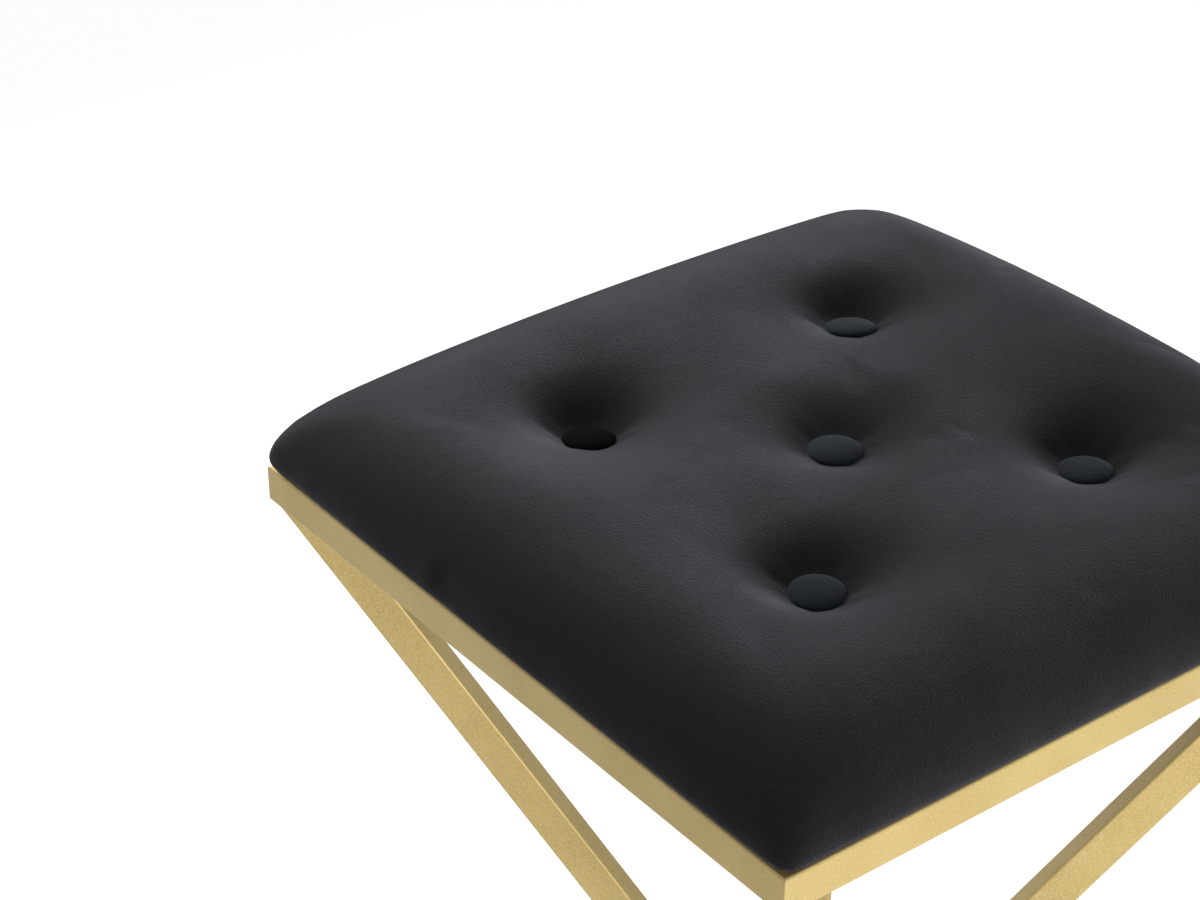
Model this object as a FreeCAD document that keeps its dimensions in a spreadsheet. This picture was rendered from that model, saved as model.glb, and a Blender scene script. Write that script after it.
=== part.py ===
import FreeCAD, Part
import math
import os
import Sketcher
from FreeCAD import Vector

# A bar stool: a buttoned velvet seat pad on a welded frame of gold tube. The frame is two
# pyramids tip to tip: four legs run in from the seat frame's corners to a narrow waist and
# four run out again to a square frame on the floor. Millimetres, Z up, floor at Z = 0,
# the stool's centre line on the Z axis and its front on the -Y side.

doc = FreeCAD.newDocument("bar_stool")
sheet = doc.addObject("Spreadsheet::Sheet", "Sizes")

DRIVING_SIZES = {
    # The tube frame.
    "seat_side": 400,       # outer side of the square seat frame
    "base_side": 420,       # outer side of the square floor frame
    "rail_tube": 20,        # square tube of both frames
    "leg_depth": 20,        # leg tube, measured in the leg's own upright plane
    "leg_width": 15,        # leg tube, measured across that plane
    "tube_wall": 1.5,
    "tube_edge": 1.5,       # outer edge radius of the tubes
    "waist_drop": 400,      # from the seat frame's underside to the waist
    "waist_rise": 300,      # from the floor frame's top to the waist
    # The levelling glides under the floor frame.
    "foot_radius": 9.5,
    "foot_thick": 5,
    "foot_bevel": 1.2,      # worn edge under the foot
    "foot_slope": 2,        # how far the foot's shoulder drops outwards
    "foot_collar": 5.5,     # flat round the stem, radius
    "glide_corner": 38,     # from the frame's outer corner to a glide, along its rail
    "stem_radius": 3,
    "stem_reach": 12,       # stem length above the foot
    "stem_seat": 3,         # stem length moulded into the foot
    "nut_radius": 4.5,      # rivet nut sleeve
    "nut_sleeve": 7,
    "nut_lip": 1,           # rivet nut flange under the rail
    "nut_lip_radius": 7,
    "run_gap": 0.08,        # running clearance round a screw or a sleeve
    "pass_gap": 0.3,        # clearance round what only passes through a hole
    # The seat board and what fastens it.
    "board_thick": 12,
    "board_margin": 7,      # board edge inside the seat frame's outer face
    "board_corner": 16,
    "tab_leg": 60,          # corner tab, along the rail
    "tab_nose": 8,          # width of the tab's two ends
    "tab_thick": 3,
    "tab_low": 1.5,         # tab top below the rail top
    "tab_hole": 27,         # fixing hole to the rails' inner faces
    "screw_radius": 3,
    "screw_length": 16,
    "screw_head": 5.5,
    "screw_head_thick": 3.3,
    "screw_head_bevel": 1.6,
    "screw_point": 1,       # bevel at the screw's end
    "screw_key": 2.3,       # hexagon key socket, centre to corner
    "screw_key_depth": 2.2,
    "insert_flange": 9.5,   # tee nut flange radius
    "insert_flange_thick": 1.5,
    "insert_barrel": 4,
    "insert_depth": 9,
    # The padding.
    "cover_thick": 1.2,
    "soft_gap": 0.3,        # air between the cover and the foam
    "pad_bulge": 2.5,       # pad side beyond the rail at its fullest
    "pad_tuck": 2.5,        # pad side inside the rail where it is drawn under
    "pad_full": 11.5,       # height of the fullest line above the rail top
    "pad_rise": 35,         # from the fullest line up to the crown
    "pad_roll": 40,         # how far in the rolled edge reaches the crown
    "pad_corner": 20,       # plan corner radius at the fullest line
    "corner_ease": 30,      # how much rounder the corners get on the way up
    "hem_width": 30,        # cover turned under the board
    "dust_thick": 0.6,
    "dust_margin": 4,       # dust cover to the rails' inner faces
    # The tufts.
    "tuft_pitch": 85,       # button to the seat's centre lines
    "tuft_floor": 24.5,     # seat of a button above the rail top
    "tuft_throat": 14.2,
    "tuft_wall": 1,
    "tuft_reach": 42,       # how far the soft bell mouth round a button runs out
    "button_radius": 13.5,
    "button_rim": 3,        # height of the widest line
    "button_tuck": 2,       # underside inside the widest line
    "button_rise": 8.5,
    "eye_width": 4,         # flat eye under a button
    "eye_drop": 4.4,
    "eye_thick": 1.2,
    "eye_hole": 1,          # radius
    "twine_thick": 1.2,     # waxed twine, as wide as thick
    "twine_half": 2.6,      # half the distance between a loop's two strands
    "twine_hole": 3.4,
    "anchor_radius": 1.9,   # toggle that the loop hangs on
    "anchor_half": 8,       # half its length
    "anchor_recess": 5,     # sunk into the board's underside
}
for row, (alias, number) in enumerate(DRIVING_SIZES.items(), start=1):
    sheet.set(f"A{row}", str(number))
    sheet.setAlias(f"A{row}", alias)
doc.recompute()

# Heights and lengths that follow from the driving sizes, as expressions on the sheet.
FLOOR_UNDER = "(Sizes.foot_thick + Sizes.nut_lip)"
FLOOR_TOP = f"({FLOOR_UNDER} + Sizes.rail_tube)"
WAIST = f"({FLOOR_TOP} + Sizes.waist_rise)"
SEAT_UNDER = f"({WAIST} + Sizes.waist_drop)"
SEAT_TOP = f"({SEAT_UNDER} + Sizes.rail_tube)"
SEAT_HALF = "(Sizes.seat_side / 2)"
SEAT_INNER = "(Sizes.seat_side / 2 - Sizes.rail_tube)"
BASE_HALF = "(Sizes.base_side / 2)"
BOARD_TOP = "(Sizes.cover_thick + Sizes.board_thick)"
TAB_HOLE = f"({SEAT_INNER} - Sizes.tab_hole)"
TAB_UNDER = f"({SEAT_TOP} - Sizes.tab_low - Sizes.tab_thick)"

SIDES = ("front", "right", "back", "left")
CORNERS = (
    ("front_left", -1, -1),
    ("front_right", 1, -1),
    ("back_right", 1, 1),
    ("back_left", -1, 1),
)
TUFTS = (("centre", 0, 0),) + CORNERS
nodes = []


def value(expression):
    """Number that an expression on the sheet has now."""
    found = sheet.evalExpression(str(expression))
    return getattr(found, "Value", found)


def keep(thing, label):
    """Give a finished sub-part its name and list it for export."""
    thing.Label = label
    nodes.append(thing)
    return thing


def place(thing, east="0", north="0", up="0", yaw="0", pitch="0"):
    """Bind a placement: turn by pitch about Y, then yaw about Z, then move."""
    spot = f"vector({east}; {north}; {up})"
    thing.setExpression("Placement", f"placement({spot}; rotation({yaw}; {pitch}; 0))")
    return thing


def sketch_on(body, role, lift="0", across="0"):
    """New sketch on one of the body's own origin planes, lifted along its normal."""
    sketch = body.newObject("Sketcher::SketchObject", f"{body.Name}_sketch")
    plane = next(item for item in body.Origin.OriginFeatures if item.Role == role)
    sketch.AttachmentSupport = (plane, [""])
    sketch.MapMode = "FlatFace"
    sketch.setExpression("AttachmentOffset.Base.z", lift)
    sketch.setExpression("AttachmentOffset.Base.x", across)
    return sketch


def pin(sketch, geometry, point, east, north):
    """Hold one point of a sketch at a place measured from the sketch's origin."""
    for kind, axis, expression in (("DistanceX", -2, east), ("DistanceY", -1, north)):
        distance = value(expression)
        if distance == 0:
            sketch.addConstraint(Sketcher.Constraint("PointOnObject", geometry, point, axis))
            continue
        hold = Sketcher.Constraint(kind, -1, 1, geometry, point, distance)
        number = sketch.addConstraint(hold)
        sketch.setExpression(f"Constraints[{number}]", expression)


def outline(sketch, stops):
    """Draw a closed outline through the stops.

    A stop is (x, y) when a straight run leads to it, and (x, y, radius, turn) when an arc
    does; turn is 1 for an arc that bends to the left and -1 for one that bends right.
    """
    spots = [Vector(value(stop[0]), value(stop[1]), 0) for stop in stops]
    first = sketch.GeometryCount
    count = len(stops)
    ends = []
    for index, stop in enumerate(stops):
        start, end = spots[index - 1], spots[index]
        if len(stop) == 2:
            sketch.addGeometry(Part.LineSegment(start, end))
            ends.append((1, 2))
            continue
        radius, turn = value(stop[2]), stop[3]
        chord = end - start
        aside = Vector(-chord.y, chord.x, 0).normalize() * turn
        reach = math.sqrt(max(radius ** 2 - chord.Length ** 2 / 4, 0))
        centre = start + chord * 0.5 + aside * reach
        near, far = (start, end) if turn > 0 else (end, start)
        from_angle = math.atan2(near.y - centre.y, near.x - centre.x)
        to_angle = math.atan2(far.y - centre.y, far.x - centre.x)
        whole = Part.Circle(centre, Vector(0, 0, 1), radius)
        sketch.addGeometry(Part.ArcOfCircle(whole, from_angle, to_angle))
        ends.append((1, 2) if turn > 0 else (2, 1))
    for index, stop in enumerate(stops):
        this, following = first + index, first + (index + 1) % count
        tail, head = ends[index][1], ends[(index + 1) % count][0]
        sketch.addConstraint(Sketcher.Constraint("Coincident", this, tail, following, head))
        pin(sketch, this, tail, stop[0], stop[1])
        if len(stop) == 4:
            number = sketch.addConstraint(Sketcher.Constraint("Radius", this, value(stop[2])))
            sketch.setExpression(f"Constraints[{number}]", stop[2])


def rectangle(sketch, half_x, half_y, corner=None):
    """Centred rectangle, with rounded corners when a corner radius is given."""
    if corner is None:
        signs = ((-1, -1), (1, -1), (1, 1), (-1, 1))
        outline(sketch, [(f"{x} * {half_x}", f"{y} * {half_y}") for x, y in signs])
        return
    in_x, in_y = f"({half_x} - {corner})", f"({half_y} - {corner})"
    outline(sketch, [
        (f"-{in_x}", f"-{half_y}", corner, 1),
        (in_x, f"-{half_y}"),
        (half_x, f"-{in_y}", corner, 1),
        (half_x, in_y),
        (in_x, half_y, corner, 1),
        (f"-{in_x}", half_y),
        (f"-{half_x}", in_y, corner, 1),
        (f"-{half_x}", f"-{in_y}"),
    ])


def circle(sketch, radius, east="0", north="0"):
    """Circle of a bound radius round a bound centre."""
    centre = Vector(value(east), value(north), 0)
    number = sketch.addGeometry(Part.Circle(centre, Vector(0, 0, 1), value(radius)))
    pin(sketch, number, 3, east, north)
    hold = sketch.addConstraint(Sketcher.Constraint("Radius", number, value(radius)))
    sketch.setExpression(f"Constraints[{hold}]", radius)


def pad(body, sketch, length):
    """Raise a sketch along its normal."""
    feature = body.newObject("PartDesign::Pad", f"{body.Name}_pad")
    feature.Profile = sketch
    feature.setExpression("Length", length)
    return feature


def pocket(body, sketch, depth=None, upward=False):
    """Cut a sketch into the body, all the way through when no depth is given."""
    feature = body.newObject("PartDesign::Pocket", f"{body.Name}_pocket")
    feature.Profile = sketch
    feature.Reversed = upward
    if depth is None:
        feature.Type = "ThroughAll"
    else:
        feature.setExpression("Length", depth)
    return feature


def turned(name, stops):
    """Body of revolution about its own Z axis, from a profile in X and Z."""
    body = doc.addObject("PartDesign::Body", name)
    sketch = sketch_on(body, "XZ_Plane")
    outline(sketch, stops)
    feature = body.newObject("PartDesign::Revolution", f"{name}_turn")
    feature.Profile = sketch
    feature.ReferenceAxis = (sketch, ["V_Axis"])
    feature.Angle = 360
    return body


def group(label, members):
    """One node of several like pieces, each still a solid of its own."""
    compound = doc.addObject("Part::Compound", label)
    compound.Links = members
    return keep(compound, label)


def mitred_rail(label, side, turn, up):
    """One side of a square frame: a hollow square tube with both ends cut at 45 degrees."""
    body = doc.addObject("PartDesign::Body", label)
    half, half_tube = f"(Sizes.{side} / 2)", "(Sizes.rail_tube / 2)"
    bore = f"({half_tube} - Sizes.tube_wall)"
    section = sketch_on(body, "YZ_Plane", lift=f"-{half}")
    rectangle(section, half_tube, half_tube, "Sizes.tube_edge")
    rectangle(section, bore, bore)
    pad(body, section, f"Sizes.{side}")
    mitres = sketch_on(body, "XY_Plane", lift=half_tube)
    for end in (-1, 1):
        outline(mitres, [
            (f"{end} * {half}", f"-{half_tube}"),
            (f"{end} * ({half} + Sizes.rail_tube)", half_tube),
            (f"{end} * ({half} - Sizes.rail_tube)", half_tube),
        ])
    pocket(body, mitres)
    reach = f"({half} - {half_tube})"
    angle = math.radians(90 * turn)
    east, north = round(math.sin(angle)), -round(math.cos(angle))
    place(body, f"{east} * {reach}", f"{north} * {reach}", f"{up} + {half_tube}", yaw=90 * turn)
    return keep(body, label)


def leg_angle(side, height):
    """Lean of a leg from upright.

    Its outer edges end flush with the frame's outer faces and its axis meets the stool's
    centre line at the waist.
    """
    run = f"({side} / sqrt(2) - Sizes.leg_width / 2)"
    slant = f"sqrt({run}^2 + {height}^2)"
    return f"(acos(Sizes.leg_depth / 2 / {slant}) - atan2({height}; {run}))"


def leg(label, east, north, side, height, up):
    """One leg: a hollow tube trimmed to its own eighth of the frame.

    The tube starts with spare length at both ends. The trimming box cuts it flat at the
    rails and at the waist, and mitres it against its two neighbours on the stool's centre
    planes.
    """
    lean = leg_angle(side, height)
    tube = doc.addObject("PartDesign::Body", f"{label}_tube")
    spare = "(2 * Sizes.leg_depth)"
    section = sketch_on(tube, "XY_Plane", lift=f"-{spare}")
    half_depth, half_width = "(Sizes.leg_depth / 2)", "(Sizes.leg_width / 2)"
    rectangle(section, half_depth, half_width, "Sizes.tube_edge")
    rectangle(section, f"({half_depth} - Sizes.tube_wall)", f"({half_width} - Sizes.tube_wall)")
    pad(tube, section, f"{spare} + {height} / cos({lean}) + {spare}")
    pitch = lean if up else f"180 deg - {lean}"
    place(tube, up=WAIST, yaw=round(math.degrees(math.atan2(north, east))), pitch=pitch)
    eighth = doc.addObject("Part::Box", f"{label}_eighth")
    eighth.setExpression("Length", f"{side} / 2")
    eighth.setExpression("Width", f"{side} / 2")
    eighth.setExpression("Height", height)
    low = WAIST if up else f"({WAIST} - {height})"
    place(eighth, f"{min(east, 0)} * {side} / 2", f"{min(north, 0)} * {side} / 2", low)
    trimmed = doc.addObject("Part::Common", label)
    trimmed.Base = tube
    trimmed.Tool = eighth
    return keep(trimmed, label)


# Seat frame, floor frame and the eight legs between them.
for turn, side in enumerate(SIDES):
    mitred_rail(f"seat_rail_{side}", "seat_side", turn, SEAT_UNDER)
for corner, east, north in CORNERS:
    leg(f"upper_leg_{corner}", east, north, "Sizes.seat_side", "Sizes.waist_drop", True)
for corner, east, north in CORNERS:
    leg(f"lower_leg_{corner}", east, north, "Sizes.base_side", "Sizes.waist_rise", False)

GLIDE_ALONG = f"({BASE_HALF} - Sizes.glide_corner)"
for turn, side in enumerate(SIDES):
    rail = mitred_rail(f"base_rail_{side}", "base_side", turn, FLOOR_UNDER)
    if side in ("front", "back"):
        holes = sketch_on(rail, "XY_Plane", lift="-Sizes.rail_tube / 2")
        for end in (-1, 1):
            circle(holes, "Sizes.nut_radius + Sizes.run_gap", f"{end} * {GLIDE_ALONG}")
        pocket(rail, holes, "2 * Sizes.tube_wall", upward=True)

# Levelling glides: a nylon foot on a threaded stem that screws into a rivet nut.
GLIDE_ASIDE = f"({BASE_HALF} - Sizes.rail_tube / 2)"
STEM_LOW = "(Sizes.foot_thick - Sizes.stem_seat)"
STEM_BORE = "(Sizes.stem_radius + Sizes.run_gap)"
NUT_TOP = "(Sizes.nut_lip + Sizes.nut_sleeve)"
rivet_nuts = []
for corner, east, north in CORNERS:
    spot = (f"{east} * {GLIDE_ALONG}", f"{north} * {GLIDE_ASIDE}")
    foot = turned(f"glide_foot_{corner}", [
        ("0", "0"),
        ("Sizes.foot_radius - Sizes.foot_bevel", "0"),
        ("Sizes.foot_radius", "Sizes.foot_bevel"),
        ("Sizes.foot_radius", "Sizes.foot_thick - Sizes.foot_slope"),
        ("Sizes.foot_collar", "Sizes.foot_thick"),
        ("Sizes.stem_radius", "Sizes.foot_thick"),
        ("Sizes.stem_radius", STEM_LOW),
        ("0", STEM_LOW),
    ])
    keep(place(foot, *spot), f"glide_foot_{corner}")
    stem = doc.addObject("Part::Cylinder", f"glide_stem_{corner}")
    stem.setExpression("Radius", "Sizes.stem_radius")
    stem.setExpression("Height", "Sizes.stem_seat + Sizes.stem_reach")
    keep(place(stem, *spot, STEM_LOW), f"glide_stem_{corner}")
    nut = turned(f"rivet_nut_{corner}", [
        (STEM_BORE, "0"),
        ("Sizes.nut_lip_radius", "0"),
        ("Sizes.nut_lip_radius", "Sizes.nut_lip"),
        ("Sizes.nut_radius", "Sizes.nut_lip"),
        ("Sizes.nut_radius", NUT_TOP),
        (STEM_BORE, NUT_TOP),
    ])
    rivet_nuts.append(place(nut, *spot, "Sizes.foot_thick"))
group("rivet_nuts", rivet_nuts)

# Corner tabs welded inside the seat frame, each with a hole for one seat screw.
for index, (corner, east, north) in enumerate(CORNERS):
    tab = doc.addObject("PartDesign::Body", f"seat_tab_{corner}")
    plate = sketch_on(tab, "XY_Plane")
    outline(plate, [
        ("0", "0"),
        ("Sizes.tab_leg", "0"),
        ("Sizes.tab_leg", "Sizes.tab_nose"),
        ("Sizes.tab_nose", "Sizes.tab_leg"),
        ("0", "Sizes.tab_leg"),
    ])
    circle(plate, "Sizes.screw_radius + Sizes.pass_gap", "Sizes.tab_hole", "Sizes.tab_hole")
    pad(tab, plate, "Sizes.tab_thick")
    place(tab, f"{east} * {SEAT_INNER}", f"{north} * {SEAT_INNER}", TAB_UNDER, yaw=90 * index)
    keep(tab, f"seat_tab_{corner}")

# Seat board of plywood, with holes for the tufting twine and for the tee nuts.
board = doc.addObject("PartDesign::Body", "seat_board")
BOARD_HALF = f"({SEAT_HALF} - Sizes.board_margin)"
plan = sketch_on(board, "XY_Plane")
rectangle(plan, BOARD_HALF, BOARD_HALF, "Sizes.board_corner")
pad(board, plan, "Sizes.board_thick")
top_holes = sketch_on(board, "XY_Plane", lift="Sizes.board_thick")
sunk_flanges = sketch_on(board, "XY_Plane", lift="Sizes.board_thick")
for corner, east, north in CORNERS:
    spot = (f"{east} * {TAB_HOLE}", f"{north} * {TAB_HOLE}")
    circle(top_holes, "Sizes.insert_barrel + Sizes.run_gap", *spot)
    circle(sunk_flanges, "Sizes.insert_flange + Sizes.run_gap", *spot)
twine_recess = sketch_on(board, "XY_Plane")
for corner, east, north in TUFTS:
    spot = (f"{east} * Sizes.tuft_pitch", f"{north} * Sizes.tuft_pitch")
    circle(top_holes, "Sizes.twine_hole", *spot)
    circle(twine_recess, "Sizes.anchor_half + Sizes.pass_gap", *spot)
pocket(board, top_holes)
pocket(board, sunk_flanges, "Sizes.insert_flange_thick")
pocket(board, twine_recess, "Sizes.anchor_recess", upward=True)
keep(place(board, up=f"{SEAT_TOP} + Sizes.cover_thick"), "seat_board")

# Tee nuts sunk in the board and the screws that come up into them through the tabs.
tee_nuts, seat_screws = [], []
for corner, east, north in CORNERS:
    spot = (f"{east} * {TAB_HOLE}", f"{north} * {TAB_HOLE}")
    bore = "Sizes.screw_radius + Sizes.run_gap"
    tee_nut = turned(f"tee_nut_{corner}", [
        (bore, "-Sizes.insert_depth"),
        ("Sizes.insert_barrel", "-Sizes.insert_depth"),
        ("Sizes.insert_barrel", "-Sizes.insert_flange_thick"),
        ("Sizes.insert_flange", "-Sizes.insert_flange_thick"),
        ("Sizes.insert_flange", "0"),
        (bore, "0"),
    ])
    tee_nuts.append(place(tee_nut, *spot, f"{SEAT_TOP} + {BOARD_TOP}"))
    screw = turned(f"seat_screw_{corner}", [
        ("0", "-Sizes.screw_head_thick"),
        ("Sizes.screw_head - Sizes.screw_head_bevel", "-Sizes.screw_head_thick"),
        ("Sizes.screw_head", "Sizes.screw_head_bevel - Sizes.screw_head_thick"),
        ("Sizes.screw_head", "0"),
        ("Sizes.screw_radius", "0"),
        ("Sizes.screw_radius", "Sizes.screw_length - Sizes.screw_point"),
        ("Sizes.screw_radius - Sizes.screw_point", "Sizes.screw_length"),
        ("0", "Sizes.screw_length"),
    ])
    socket = screw.newObject("PartDesign::SubtractivePrism", f"screw_socket_{corner}")
    socket.Polygon = 6
    socket.setExpression("Circumradius", "Sizes.screw_key")
    socket.setExpression("Height", "Sizes.screw_key_depth")
    socket.setExpression("Placement.Base.z", "-Sizes.screw_head_thick")
    seat_screws.append(place(screw, *spot, TAB_UNDER))
group("tee_nuts", tee_nuts)
group("seat_screws", seat_screws)


# Angles along the pad's rolled edge and along a tuft's bell mouth at which a section lies.
EDGE_STEPS = (-90, 0, 21, 42, 63, 84)
MOUTH_STEPS = (30, 60, 90)


def pad_form(name, skin):
    """Closed form of the buttoned pad, drawn in everywhere by a skin thickness.

    Level sections climb the edge: a quarter ellipse from the tucked underside out to the
    fullest line, then a longer one that rolls in to the crown. The corners get rounder on
    the way up. Bell mouths are then sunk into the crown at the buttons.
    """
    body = doc.addObject("PartDesign::Body", name)
    sections = []
    for degrees in EDGE_STEPS:
        sine, cosine = f"sin({degrees} deg)", f"cos({degrees} deg)"
        if degrees < 0:
            climb, reach, ease = "Sizes.pad_full", "(Sizes.pad_bulge + Sizes.pad_tuck)", "0"
        else:
            climb, reach, ease = "Sizes.pad_rise", "Sizes.pad_roll", "Sizes.corner_ease"
        section = sketch_on(body, "XY_Plane", lift=f"Sizes.pad_full + ({climb} - {skin}) * {sine}")
        half = f"({PAD_HALF} - {reach} + ({reach} - {skin}) * {cosine})"
        rectangle(section, half, half, f"(Sizes.pad_corner - {skin} + {ease} * (1 - {cosine}))")
        sections.append(section)
    loft = body.newObject("PartDesign::AdditiveLoft", f"{name}_loft")
    loft.Profile = sections[0]
    loft.Sections = sections[1:]
    loft.Ruled = True
    throat = f"(Sizes.tuft_throat + {skin})"
    floor = f"(Sizes.tuft_floor - {skin})"
    lip = "(Sizes.tuft_floor + Sizes.tuft_wall)"
    mouth = "(Sizes.tuft_throat + Sizes.tuft_reach)"
    reach = f"(Sizes.tuft_reach - {skin})"
    climb = f"(Sizes.pad_full + Sizes.pad_rise - {lip} - {skin})"
    clear = "(Sizes.pad_full + 2 * Sizes.pad_rise)"
    for corner, east, north in TUFTS:
        along, aside = f"{east} * Sizes.tuft_pitch", f"{-north} * Sizes.tuft_pitch"
        bell = sketch_on(body, "XZ_Plane", lift=aside, across=along)
        flare = [
            (f"{mouth} - {reach} * cos({degrees} deg)", f"{lip} + {climb} * sin({degrees} deg)")
            for degrees in MOUTH_STEPS
        ]
        foot = [("0", floor), (throat, floor), (throat, lip)]
        outline(bell, foot + flare + [(mouth, clear), ("0", clear)])
        groove = body.newObject("PartDesign::Groove", f"{name}_tuft")
        groove.Profile = bell
        groove.ReferenceAxis = (bell, ["V_Axis"])
        groove.Angle = 360
    place(body, up=SEAT_TOP)
    return body


def twine_holes(body):
    """Upright holes for the button eyes and the twine, from the board up to the tufts."""
    sketch = sketch_on(body, "XY_Plane", lift=BOARD_TOP)
    for corner, east, north in TUFTS:
        spot = (f"{east} * Sizes.tuft_pitch", f"{north} * Sizes.tuft_pitch")
        circle(sketch, "Sizes.twine_hole", *spot)
    pocket(body, sketch, "Sizes.tuft_floor", upward=True)


# Velvet cover: the pad's outside less the room inside it, open under the board where the
# turned hem ends.
PAD_HALF = f"({SEAT_HALF} + Sizes.pad_bulge)"
outside = pad_form("cover_outside", "0")
hem = sketch_on(outside, "XY_Plane")
HEM_HALF = f"({SEAT_HALF} - Sizes.hem_width)"
rectangle(hem, HEM_HALF, HEM_HALF)
pocket(outside, hem, "2 * Sizes.cover_thick", upward=True)
twine_holes(outside)
cover = doc.addObject("Part::Cut", "seat_cover")
cover.Base = outside
cover.Tool = pad_form("cover_room", "Sizes.cover_thick")
keep(cover, "seat_cover")

# Foam pad: fills the cover, sits on the board and wraps round its edge.
foam = pad_form("seat_foam", "(Sizes.cover_thick + Sizes.soft_gap)")
board_room = sketch_on(foam, "XY_Plane", lift=BOARD_TOP)
BOARD_ROOM = f"({BOARD_HALF} + Sizes.soft_gap)"
rectangle(board_room, BOARD_ROOM, BOARD_ROOM, "(Sizes.board_corner + Sizes.soft_gap)")
pocket(foam, board_room)
twine_holes(foam)
keep(foam, "seat_foam")

# Dust cover stretched under the board inside the seat frame.
dust = doc.addObject("PartDesign::Body", "dust_cover")
cloth = sketch_on(dust, "XY_Plane")
DUST_HALF = f"({SEAT_INNER} - Sizes.dust_margin)"
rectangle(cloth, DUST_HALF, DUST_HALF)
for corner, east, north in CORNERS:
    spot = (f"{east} * {TAB_HOLE}", f"{north} * {TAB_HOLE}")
    circle(cloth, "Sizes.screw_radius + Sizes.pass_gap", *spot)
pad(dust, cloth, "Sizes.dust_thick")
keep(place(dust, up=f"{SEAT_TOP} - Sizes.dust_thick"), "dust_cover")

# Covered buttons, each with a flat eye, and the twine loops that hold them down to toggles
# sunk into the board's underside.
ANCHOR_HEIGHT = f"({SEAT_TOP} + Sizes.cover_thick + Sizes.anchor_recess - Sizes.anchor_radius)"
BUTTON_SEAT = f"({SEAT_TOP} + Sizes.tuft_floor)"
EYE_HEIGHT = "(Sizes.eye_width / 2 - Sizes.eye_drop)"
LOOP_TOP = f"({BUTTON_SEAT} + {EYE_HEIGHT} + Sizes.twine_thick / 2)"
LOOP_LOW = f"({ANCHOR_HEIGHT} - Sizes.anchor_radius - Sizes.twine_thick)"
BUTTON_CAP = "(Sizes.button_rise - Sizes.button_rim)"
BUTTON_DOME = f"((Sizes.button_radius^2 + {BUTTON_CAP}^2) / (2 * {BUTTON_CAP}))"
twines, anchors = [], []
for corner, east, north in TUFTS:
    spot = (f"{east} * Sizes.tuft_pitch", f"{north} * Sizes.tuft_pitch")
    button = turned(f"tuft_button_{corner}", [
        ("0", "0"),
        ("Sizes.button_radius - Sizes.button_tuck", "0"),
        ("Sizes.button_radius", "Sizes.button_rim"),
        ("0", "Sizes.button_rise", BUTTON_DOME, 1),
    ])
    eye = sketch_on(button, "YZ_Plane")
    half_eye = "(Sizes.eye_width / 2)"
    outline(eye, [
        (f"-{half_eye}", "Sizes.button_rim"),
        (f"-{half_eye}", EYE_HEIGHT),
        ("0", "-Sizes.eye_drop", half_eye, 1),
        (half_eye, EYE_HEIGHT, half_eye, 1),
        (half_eye, "Sizes.button_rim"),
    ])
    circle(eye, "Sizes.eye_hole", "0", EYE_HEIGHT)
    pad(button, eye, "Sizes.eye_thick").SideType = "Symmetric"
    keep(place(button, *spot, BUTTON_SEAT), f"tuft_button_{corner}")
    twine = doc.addObject("PartDesign::Body", f"twine_{corner}")
    loop = sketch_on(twine, "XZ_Plane")
    half_loop = f"(({LOOP_TOP} - {LOOP_LOW}) / 2)"
    half_twine = "(Sizes.twine_thick / 2)"
    rectangle(loop, f"(Sizes.twine_half + {half_twine})", half_loop)
    rectangle(loop, f"(Sizes.twine_half - {half_twine})", f"({half_loop} - Sizes.twine_thick)")
    pad(twine, loop, "Sizes.twine_thick").SideType = "Symmetric"
    twines.append(place(twine, *spot, f"{LOOP_LOW} + {half_loop}"))
    anchor = doc.addObject("Part::Cylinder", f"anchor_{corner}")
    anchor.setExpression("Radius", "Sizes.anchor_radius")
    anchor.setExpression("Height", "2 * Sizes.anchor_half")
    near_end = f"{spot[1]} - Sizes.anchor_half"
    anchors.append(place(anchor, spot[0], near_end, ANCHOR_HEIGHT, yaw=90, pitch=90))
group("tuft_twine", twines)
group("tuft_anchors", anchors)

doc.recompute()
for item in doc.Objects:
    if "Invalid" in item.State or "Error" in item.State:
        raise RuntimeError(f"{item.Label} did not build: {item.State}")
os.makedirs("parts", exist_ok=True)
for node in nodes:
    if node.Shape.isNull() or not node.Shape.isValid() or not node.Shape.Solids:
        raise RuntimeError(f"{node.Label} has no sound shape")
    node.Shape.exportStep(f"parts/{node.Label}.step")
    print(node.Label, len(node.Shape.Solids), round(node.Shape.Volume), node.Shape.BoundBox)
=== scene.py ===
import math

import bpy
import numpy as np
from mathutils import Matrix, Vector


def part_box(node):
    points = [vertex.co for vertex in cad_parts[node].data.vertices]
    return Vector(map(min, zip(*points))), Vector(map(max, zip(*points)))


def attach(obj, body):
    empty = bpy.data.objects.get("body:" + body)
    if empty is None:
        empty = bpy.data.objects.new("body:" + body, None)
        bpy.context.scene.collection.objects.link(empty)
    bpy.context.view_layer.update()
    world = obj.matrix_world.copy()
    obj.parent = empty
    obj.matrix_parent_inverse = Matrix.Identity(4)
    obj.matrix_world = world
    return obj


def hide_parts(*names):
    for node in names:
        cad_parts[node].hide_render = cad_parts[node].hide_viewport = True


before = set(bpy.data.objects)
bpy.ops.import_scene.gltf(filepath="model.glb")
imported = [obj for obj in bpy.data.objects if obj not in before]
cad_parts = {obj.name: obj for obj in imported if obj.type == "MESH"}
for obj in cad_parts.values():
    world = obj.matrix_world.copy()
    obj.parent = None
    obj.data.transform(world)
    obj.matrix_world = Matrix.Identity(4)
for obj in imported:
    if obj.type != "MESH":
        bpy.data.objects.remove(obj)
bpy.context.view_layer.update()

# Tube frame: square steel tube, mitred, welded and ground flush, then powder coated in a
# satin gold with fine metal flake in it. The coat is even over faces, edges and joints.


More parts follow.
